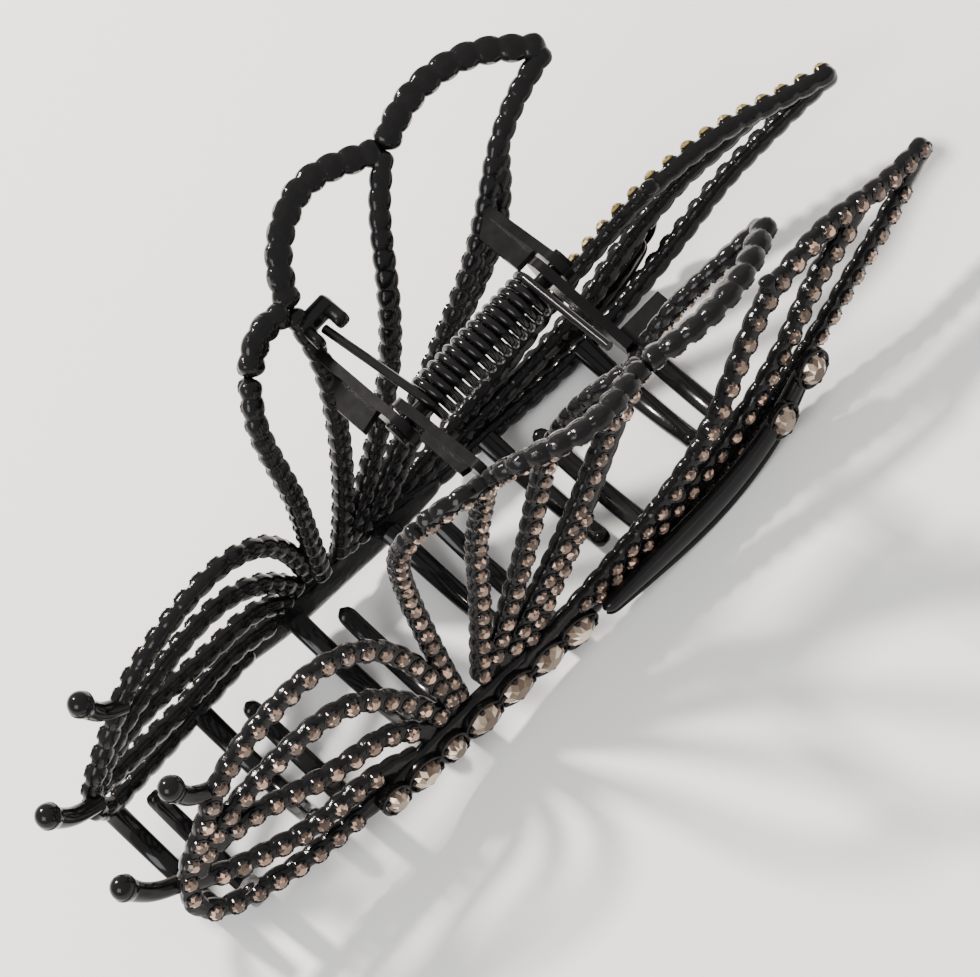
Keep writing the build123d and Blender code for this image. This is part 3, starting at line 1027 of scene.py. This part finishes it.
@dataclass
class LargeStone:
    """One large stone with its cup and claws."""

    half: Half
    along: float
    above: float
    outline: Outline
    length: float
    width: float
    turn: float
    face: float
    height: float = 1.5
    girdle: float = 0.45
    table: float = 0.46
    lift: float = 0.1
    wall_grow: float = 0.36
    wall_rise: float = 0.25
    wall_half: tuple[float, float] = (0.3, 0.5)
    claw_grow: float = 0.05
    claw_rise: float = 0.72
    claw_radius: float = 0.42

    def seat(self, over: float) -> Path:
        """Single seat on the stone's middle.

        Args:
            over: Height over the face that it stands on.

        Returns:
            A path of one point.
        """
        tilt = radians(self.turn)
        ahead = np.array([[cos(tilt), 0.0, sin(tilt)]])
        place = np.array([[self.along * PERCENT, self.half.value * (self.face + over), self.above * PERCENT]])
        return Path.squared(place, ahead, self.half.outward)

    def outline_points(self, corners: int, grow: float) -> Array:
        """Points on the stone's outline, grown by a little: (along, across) rows."""
        return stone_outline(self.outline, self.length, self.width, corners, grow)

    def cut(self, seed: int) -> MeshBin:
        """The stone itself.

        Args:
            seed: Seed of its facets' painted glints.

        Returns:
            Bin with the stone.
        """
        stone = MeshBin()
        gem = Gem.cut(self.outline_points(12, 0.0), self.height, self.table, self.girdle)
        # The stone's facets get painted glints.
        stone.stamp(gem.points, gem.faces, self.seat(self.lift), gem.painted_glints(1, seed, rarity=3.2))
        return stone

    def cup(self, metal: MeshBin) -> None:
        """Adds the cup's wall and its claws.

        The wall is a ring on the stone's outline, grown by a third of a millimetre, and the claws
        are beads that lean over the girdle.

        Args:
            metal: Bin for the metal.
        """
        seat = self.seat(0.0)
        loop = seat.around(*self.outline_points(40, self.wall_grow).T, self.wall_rise)[0]
        ring = Path.along(np.concatenate([loop[-1:], loop, loop[:2]]), seat.outward).picked(slice(1, -1))
        aside, outward = squared_ring(8, aside=0.7, outward=0.7)
        level = np.ones((len(ring.points), 1))
        metal.sweep(ring, self.wall_half[0] * level * aside, self.wall_half[1] * level * outward)
        claws = self.outline_points(6 if self.length > 3.5 else 4, self.claw_grow)
        places = seat.around(*claws.T, self.claw_rise)[0]
        metal.stamp(*bead_template(self.claw_radius), Path(places, seat.ahead, seat.aside, seat.outward))


@dataclass
class Antenna:
    """Smooth antenna of one half: a broad band with a narrow rim along its low edge.

    Each bar has its shift from the middle line and its half-height as shares of the antenna's own
    half-height, and its share of the thickness.
    """

    half: Half
    half_thickness: float = 0.9
    bars: tuple[tuple[float, float, float], ...] = ((0.24, 0.76, 1.0), (-0.76, 0.24, 0.8))

    def cast(self, metal: MeshBin) -> None:
        """Adds the band and its rim.

        Both follow the antenna's line on its bowed arc. The band is a squared ellipse, and the rim
        a slimmer round bar under it.

        Args:
            metal: Bin for the metal.
        """
        line = natural_curve(ANTENNA_LINE, 110) * PERCENT
        depth = self.half.value * arc_through(ANTENNA_ROWS)(line[:, 0])
        aside, outward = squared_ring(20, aside=0.7, outward=0.7)
        for shift, height, thickness in self.bars:
            points = np.column_stack([line[:, 0], depth, line[:, 1] + shift * line[:, 2]])
            path = Path.along(points, self.half.outward)
            ends = round_ends(path.run, reach=1.4, least=0.15)[:, None]
            across = line[:, 2:3] * height * ends * aside
            metal.sweep(path, across, self.half_thickness * thickness * ends * outward)


@dataclass
class Keeper:
    """Fork on the back handle that keeps the spring's leg."""

    blocks: list[tuple[tuple[float, float, float], tuple[float, float, float]]]

    def cast(self, metal: MeshBin) -> None:
        """Adds the fork: each block is a bar along its longest side, with a squared elliptical section.

        Args:
            metal: Bin for the metal.
        """
        count = 40
        aside, outward = squared_ring(20, aside=0.6, outward=0.6)
        for corners in self.blocks:
            low, high = np.array(corners) * PERCENT
            size = (high - low) / 2
            axis = int(np.argmax(size))
            points = np.tile((low + high) / 2, (count, 1))
            points[:, axis] = np.linspace(low[axis], high[axis], count)
            path = Path.along(points, np.array([0.0, 0.0, 1.0]))
            ends = round_ends(path.run, reach=0.6, least=0.3)[:, None]
            metal.sweep(path, size[1 - axis] * ends * aside, size[2] * ends * outward)


@dataclass(frozen=True)
class Signal:
    """One shader value, whose arithmetic adds Math nodes."""

    maker: "Shader"
    socket: bpy.types.NodeSocket

    def math(self, operation: str, first: Any, second: Any) -> "Signal":
        """Result of one Math node."""
        return self.maker.node("ShaderNodeMath", {"operation": operation}, {0: first, 1: second})

    def __add__(self, other: Any) -> "Signal":
        """Sum, in either order."""
        return self.math("ADD", self, other)

    def __mul__(self, other: Any) -> "Signal":
        """Product, in either order."""
        return self.math("MULTIPLY", self, other)

    __radd__, __rmul__ = __add__, __mul__


class Shader:
    """A material under construction, with its Principled node."""

    def __init__(self, name: str) -> None:
        """Starts a material.

        Args:
            name: Its name.
        """
        self.material = bpy.data.materials.new(name)
        self.material.use_nodes = True
        self.tree = self.material.node_tree
        self.surface = next(node for node in self.tree.nodes if node.type == "BSDF_PRINCIPLED")

    def node(
        self, kind: str, settings: dict[str, Any], inputs: dict[Any, Any], output: int | str = 0
    ) -> Signal:
        """Adds a node.

        Args:
            kind: Node's type.
            settings: Its properties, set first.
            inputs: Values or signals of its sockets.
            output: Which output is returned.

        Returns:
            The chosen output.
        """
        node = self.tree.nodes.new(kind)
        for key, value in settings.items():
            setattr(node, key, value)
        for key, value in inputs.items():
            self.put(node.inputs[key], value)
        return Signal(self, node.outputs[output])

    def put(self, socket: bpy.types.NodeSocket, value: Any) -> None:
        """Sets a socket, or links a signal to it.

        Args:
            socket: The socket.
            value: Value or signal.
        """
        if isinstance(value, Signal):
            self.tree.links.new(value.socket, socket)
        else:
            socket.default_value = value

    def set(self, **sockets: Any) -> None:
        """Sets the Principled node's sockets by name, with spaces as underscores."""
        for name, value in sockets.items():
            self.put(self.surface.inputs[name.replace("_", " ")], value)

    def place(self) -> Signal:
        """Object coordinates."""
        return self.node("ShaderNodeTexCoord", {}, {}, "Object")

    def noise(self, scale: float, detail: float = 2.0) -> Signal:
        """Noise from 0 to 1 on Object coordinates."""
        return self.node("ShaderNodeTexNoise", {}, {"Vector": self.place(), "Scale": scale, "Detail": detail})

    def mark(self) -> Signal:
        """The faces' own value: a stone's painted glint, or how rough the cast metal is."""
        return self.node("ShaderNodeAttribute", {"attribute_name": "mark"}, {}, "Fac")

    def blend(self, share: Any, low: Any, high: Any) -> Signal:
        """Colour between two colours, each a triple or a signal."""
        low, high = (end if isinstance(end, Signal) else (*end, 1.0) for end in (low, high))
        return self.node("ShaderNodeMix", {"data_type": "RGBA"}, {0: share, 6: low, 7: high}, 2)

    def bump(self, height: Signal, distance: float) -> None:
        """Feeds a height to the surface's normal through a Bump node."""
        self.set(Normal=self.node("ShaderNodeBump", {}, {"Height": height, "Distance": distance}))


@dataclass(frozen=True)
class Lacquer:
    """Black lacquer over cast metal, slightly uneven."""

    name: str
    grain: float = 1500.0
    relief: float = 0.00009
    dark: tuple[float, float, float] = (0.0025, 0.0025, 0.0028)
    light: tuple[float, float, float] = (0.008, 0.007, 0.007)
    roughness: float = 0.09
    sheen: float = 0.13
    coat: float = 0.14

    def make(self) -> bpy.types.Material:
        """Builds the material."""
        shader = Shader(self.name)
        broad = shader.noise(self.grain * 0.5, 3.0)
        fine = shader.noise(self.grain, 2.0)
        shader.set(
            Base_Color=shader.blend(broad, self.dark, self.light),
            Roughness=self.roughness + 0.14 * fine,
            Specular_IOR_Level=self.sheen,
            Coat_Weight=self.coat,
            Coat_Roughness=0.04,
        )
        shader.bump((broad + 0.6 * fine) * (0.04 + 0.96 * shader.mark()), self.relief)
        return shader.material


@dataclass(frozen=True)
class Crystal:
    """Foil-backed cut crystal, whose facets carry painted glints in their base colour, from a dark smoky
    colour that also stands in for shade to a painted highlight, and whose back shows its foil.
    """

    name: str
    shade: tuple[float, float, float]
    glow: tuple[float, float, float]
    foil: tuple[float, float, float] = (0.42, 0.30, 0.07)
    metallic: float = 0.2
    coat: float = 0.2

    def make(self) -> bpy.types.Material:
        """Builds the material."""
        shader = Shader(self.name)
        painted_glint = shader.mark()
        cloud = shader.noise(420.0, 1.0)
        # Painted glints: each facet's base colour goes from the smoky colour with painted shade to the
        # painted highlight colour by its painted glint, varied by noise.
        facets = shader.blend(painted_glint * (0.5 + cloud), self.shade, self.glow)
        foiled = painted_glint.math("LESS_THAN", painted_glint, 0.0)
        shader.set(
            Base_Color=shader.blend(foiled, facets, self.foil),
            Metallic=self.metallic,
            Roughness=0.05 + 0.10 * cloud,
            Coat_Weight=self.coat,
            Coat_Roughness=0.02,
        )
        return shader.material


@dataclass
class Clip:
    """The whole clip: both halves, and the carried-over hinge parts."""

    lacquer: bpy.types.Material
    hardware: bpy.types.Material
    spring_wire: bpy.types.Material
    small_crystal: bpy.types.Material
    large_crystal: bpy.types.Material

    def dress(self, piece: bpy.types.Object, material: bpy.types.Material) -> None:
        """Gives a piece its material."""
        piece.data.materials.append(material)

    def finish_casting(self, half: Half, node: str, metal: MeshBin) -> None:
        """Makes a casting, lacquers it and hides the node that it stands in for.

        Args:
            half: Half that it is part of.
            node: Node's name without the half.
            metal: Bin with the metal.
        """
        casting = metal.build(f"{half.label}_{node}_casting", half, smooth=True)
        self.dress(casting, self.lacquer)
        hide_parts(f"{half.label}_{node}")

    def build_half(self, half: Half) -> None:
        """Builds all pieces of one half.

        Args:
            half: Which half.
        """
        stones_set = StoneField(half)
        wings = [
            Wing(half, "handle", HANDLE_STRANDS, handle_sheet()),
            Wing(half, "forewing", FOREWING_STRANDS, wing_sheet(FOREWING_LEVELS)),
            Wing(half, "hindwing", HINDWING_STRANDS, wing_sheet(HINDWING_LEVELS)),
        ]
        for wing in wings:
            metal, stones = wing.metal(), MeshBin()
            wing.stones(stones_set, metal, stones)
            if wing.node == "hindwing":
                for points in PRONG_PATHS:
                    Prong(half, points).cast(metal)
            if wing.node == "handle" and half is Half.BACK:
                Keeper(KEEPER_BLOCKS).cast(metal)
            self.finish_casting(half, wing.node, metal)
            small = stones.build(f"{half.label}_{wing.node}_rhinestones", half, smooth=False)
            self.dress(small, self.small_crystal)
        body, antenna = MeshBin(), MeshBin()
        BodyPlate(half).cast(body)
        Antenna(half).cast(antenna)
        for number, row in enumerate(LARGE_STONES, start=1):
            stone = LargeStone(half, *row)
            stone.cup(body if stone.face == BODY_FACE else antenna)
            facets = stone.cut(31 * number + half.value)
            cut = facets.build(f"{half.label}_cut_stone_{number}", half, smooth=False)
            self.dress(cut, self.large_crystal)
            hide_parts(f"{half.label}_stone_{number}")
        self.finish_casting(half, "body", body)
        self.finish_casting(half, "antenna", antenna)

    def dress_hinge(self, nodes: dict[str, bpy.types.Object]) -> None:
        """Gives the carried-over ears, pin and spring their finish.

        Args:
            nodes: The frame's nodes by name.
        """
        for name, node in nodes.items():
            if name.endswith("_ear") or name in ("hinge_pin", "spring"):
                node.data.materials.clear()
                node.data.materials.append(self.spring_wire if name == "spring" else self.hardware)
                LOG.info("%s: carried over", name)


@dataclass
class Studio:
    """Pale floor, soft light and the camera."""

    elevation: float = 55.84
    azimuth: float = 8.63
    roll: float = -39.06
    focal_pixels: float = 6800.0
    image_width: float = 980.0
    sensor: float = 36.0
    camera_place: tuple[float, float, float] = (-65.7, -428.1, 652.8)

    def floor(self) -> None:
        """Adds the floor."""
        mesh = bpy.data.meshes.new("floor")
        mesh.from_pydata([(-3, -3, 0), (3, -3, 0), (3, 3, 0), (-3, 3, 0)], [], [(0, 1, 2, 3)])
        floor = bpy.data.objects.new("floor", mesh)
        bpy.context.scene.collection.objects.link(floor)
        shader = Shader("pale_floor")
        colour = shader.blend(shader.noise(6.0), (0.86, 0.845, 0.83), (0.90, 0.885, 0.87))
        shader.set(Base_Color=colour, Roughness=0.9)
        mesh.materials.append(shader.material)

    def light(
        self, name: str, place: Sequence[float], size: float, watts: float, colour: Sequence[float]
    ) -> None:
        """Adds a square area light that faces the clip.

        Args:
            name: Light's name.
            place: Its place in metres.
            size: Side of the square in metres.
            watts: Its power.
            colour: Its colour.
        """
        data = bpy.data.lights.new(name, "AREA")
        data.shape, data.size, data.energy, data.color = "SQUARE", size, watts, colour
        lamp = bpy.data.objects.new(name, data)
        bpy.context.scene.collection.objects.link(lamp)
        away = np.array(place) / np.linalg.norm(place)
        side = np.cross([0.0, 0.0, 1.0], away)
        side /= np.linalg.norm(side)
        turn = np.column_stack([side, np.cross(away, side), away])
        matrix = np.eye(4)
        matrix[:3, :3], matrix[:3, 3] = turn, place
        lamp.matrix_world = Matrix(matrix.tolist())

    def world(self, strength: float) -> None:
        """Sets a plain pale surround.

        Args:
            strength: How bright it is.
        """
        world = bpy.data.worlds.new("surround")
        world.use_nodes = True
        background = world.node_tree.nodes["Background"]
        background.inputs["Color"].default_value = (1.0, 0.985, 0.965, 1.0)
        background.inputs["Strength"].default_value = strength
        bpy.context.scene.world = world

    def camera(self) -> None:
        """Adds the camera: forward by azimuth and elevation, then rolled about its own axis."""
        rise, turn, roll = radians(self.elevation), radians(self.azimuth), radians(self.roll)
        forward = np.array([sin(turn) * cos(rise), cos(turn) * cos(rise), -sin(rise)])
        right = np.array([cos(turn), -sin(turn), 0.0])
        down = np.cross(forward, right)
        image_right = cos(roll) * right - sin(roll) * down
        image_down = sin(roll) * right + cos(roll) * down
        matrix = np.eye(4)
        matrix[:3, 0], matrix[:3, 1], matrix[:3, 2] = image_right, -image_down, -forward
        matrix[:3, 3] = np.array(self.camera_place) / MILLIMETRES
        data = bpy.data.cameras.new("camera")
        data.sensor_fit, data.sensor_width = "HORIZONTAL", self.sensor
        data.lens = self.focal_pixels / self.image_width * self.sensor
        data.clip_start, data.clip_end = 0.01, 20.0
        camera = bpy.data.objects.new("camera", data)
        camera.matrix_world = Matrix(matrix.tolist())
        bpy.context.scene.collection.objects.link(camera)
        bpy.context.scene.camera = camera

    def build(self) -> None:
        """Adds everything round the clip."""
        self.floor()
        self.light("key", (-0.10, 0.56, 0.60), 0.09, 14.5, (1.0, 0.955, 0.89))
        self.light("fill", (-0.7, -0.3, 0.7), 0.5, 7.0, (0.95, 0.97, 1.0))
        self.world(0.90)
        self.camera()


def main() -> None:
    """Builds the clip and the studio."""
    logging.basicConfig(level=logging.INFO, format="%(name)s %(message)s")
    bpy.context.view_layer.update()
    finishes = (
        Lacquer("gloss_black_lacquer"),
        Lacquer("hinge_black_enamel", HARDWARE_GRAIN, 0.00003, roughness=0.18, sheen=0.07, coat=0.06),
        Lacquer("spring_black_steel", HARDWARE_GRAIN, 0.00001, roughness=0.08, sheen=0.14, coat=0.16),
        # Each crystal: dark smoky colour with painted shade, then the painted highlight colour of its
        # brightest facets.
        Crystal("smoky_champagne_rhinestone", (0.020, 0.010, 0.006), (0.86, 0.56, 0.40)),
        Crystal("champagne_cut_crystal", (0.07, 0.036, 0.020), (1.0, 0.82, 0.62), metallic=0.5, coat=0.4),
    )
    clip = Clip(*(finish.make() for finish in finishes))
    for half in Half:
        clip.build_half(half)
    clip.dress_hinge(frame["nodes"])
    Studio().build()


if __name__ == "__main__":
    main()
